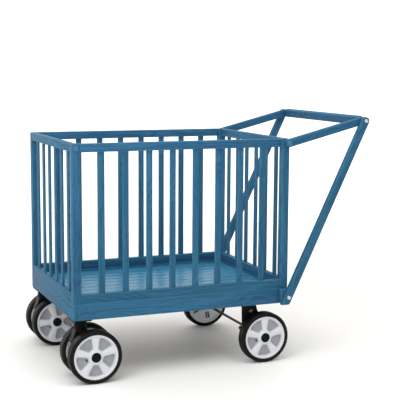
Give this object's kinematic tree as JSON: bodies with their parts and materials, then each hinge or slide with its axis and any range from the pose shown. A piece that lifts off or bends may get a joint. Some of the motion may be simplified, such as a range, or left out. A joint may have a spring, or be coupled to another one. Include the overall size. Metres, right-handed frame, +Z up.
{
  "type": "shopping trolley",
  "caption": "Slatted wooden cage on a shallow tray with twin-wheel castors in front, fixed wheels behind and a bolted triangular push handle.",
  "frame": {"origin": "centre of the overall bounding box in plan, at ground level under the tyres", "axes": "+X lengthwise towards the push handle (rear), +Y across towards the far side, +Z up"},
  "size_m": [1.125, 0.69, 0.891],
  "materials": {
    "blue_wood": "satin paint over visible grain",
    "floor_paint": "satin paint over visible grain",
    "painted_screw": "satin paint",
    "tyre": "matt black rubber",
    "rim": "light grey moulded plastic",
    "black_plastic": "black moulded plastic",
    "steel": "bright zinc"
  },
  "bodies": {
    "trolley": {"apron_near": "blue_wood", "apron_far": "blue_wood", "apron_front": "blue_wood", "apron_rear": "blue_wood", "floor_boards": "floor_paint", "floor_battens": "blue_wood", "post_front_near": "blue_wood", "post_front_far": "blue_wood", "post_rear_near": "blue_wood", "post_rear_far": "blue_wood", "rail_top_near": "blue_wood", "rail_top_far": "blue_wood", "rail_top_front": "blue_wood", "rail_top_rear": "blue_wood", "rails_low_side": "blue_wood", "rails_low_end": "blue_wood", "slats_near": "blue_wood", "slats_far": "blue_wood", "slats_front": "blue_wood", "slats_rear": "blue_wood", "button_screws": "painted_screw", "handle_upper_near": "blue_wood", "handle_upper_far": "blue_wood", "handle_diag_near": "blue_wood", "handle_diag_far": "blue_wood", "handle_grip": "blue_wood", "handle_spacers": "blue_wood", "handle_bolts": "steel", "plate_screws": "steel", "castor_socket_near": "black_plastic", "castor_socket_far": "black_plastic", "bracket_near": "black_plastic", "bracket_far": "black_plastic", "rear_axle": "steel", "bracket_rivets": "black_plastic"},
    "swivel_near": {"castor_fork_near": "black_plastic", "castor_axle_near": "steel"},
    "swivel_far": {"castor_fork_far": "black_plastic", "castor_axle_far": "steel"},
    "wheel_front_a": {"tyre_front_a": "tyre", "rim_front_a": "rim", "cap_front_a": "black_plastic"},
    "wheel_front_b": {"tyre_front_b": "tyre", "rim_front_b": "rim", "cap_front_b": "black_plastic"},
    "wheel_front_c": {"tyre_front_c": "tyre", "rim_front_c": "rim", "cap_front_c": "black_plastic"},
    "wheel_front_d": {"tyre_front_d": "tyre", "rim_front_d": "rim", "cap_front_d": "black_plastic"},
    "wheel_rear_near": {"tyre_rear_near": "tyre", "rim_rear_near": "rim", "cap_rear_near": "black_plastic"},
    "wheel_rear_far": {"tyre_rear_far": "tyre", "rim_rear_far": "rim", "cap_rear_far": "black_plastic"}
  },
  "joints": [
    {"name": "swivel_near", "type": "hinge", "parent": "trolley", "child": "swivel_near", "pos_m": [-0.5065, -0.26, 0.18], "axis": [0, 0, 1], "continuous": true},
    {"name": "swivel_far", "type": "hinge", "parent": "trolley", "child": "swivel_far", "pos_m": [-0.5065, 0.26, 0.18], "axis": [0, 0, 1], "continuous": true},
    {"name": "roll_front_a", "type": "hinge", "parent": "swivel_near", "child": "wheel_front_a", "pos_m": [-0.4705, -0.311, 0.092], "axis": [0, 1, 0], "continuous": true},
    {"name": "roll_front_b", "type": "hinge", "parent": "swivel_near", "child": "wheel_front_b", "pos_m": [-0.4705, -0.209, 0.092], "axis": [0, 1, 0], "continuous": true},
    {"name": "roll_front_c", "type": "hinge", "parent": "swivel_far", "child": "wheel_front_c", "pos_m": [-0.4705, 0.209, 0.092], "axis": [0, 1, 0], "continuous": true},
    {"name": "roll_front_d", "type": "hinge", "parent": "swivel_far", "child": "wheel_front_d", "pos_m": [-0.4705, 0.311, 0.092], "axis": [0, 1, 0], "continuous": true},
    {"name": "roll_rear_near", "type": "hinge", "parent": "trolley", "child": "wheel_rear_near", "pos_m": [0.1745, -0.281, 0.092], "axis": [0, 1, 0], "continuous": true},
    {"name": "roll_rear_far", "type": "hinge", "parent": "trolley", "child": "wheel_rear_far", "pos_m": [0.1745, 0.281, 0.092], "axis": [0, 1, 0], "continuous": true}
  ]
}
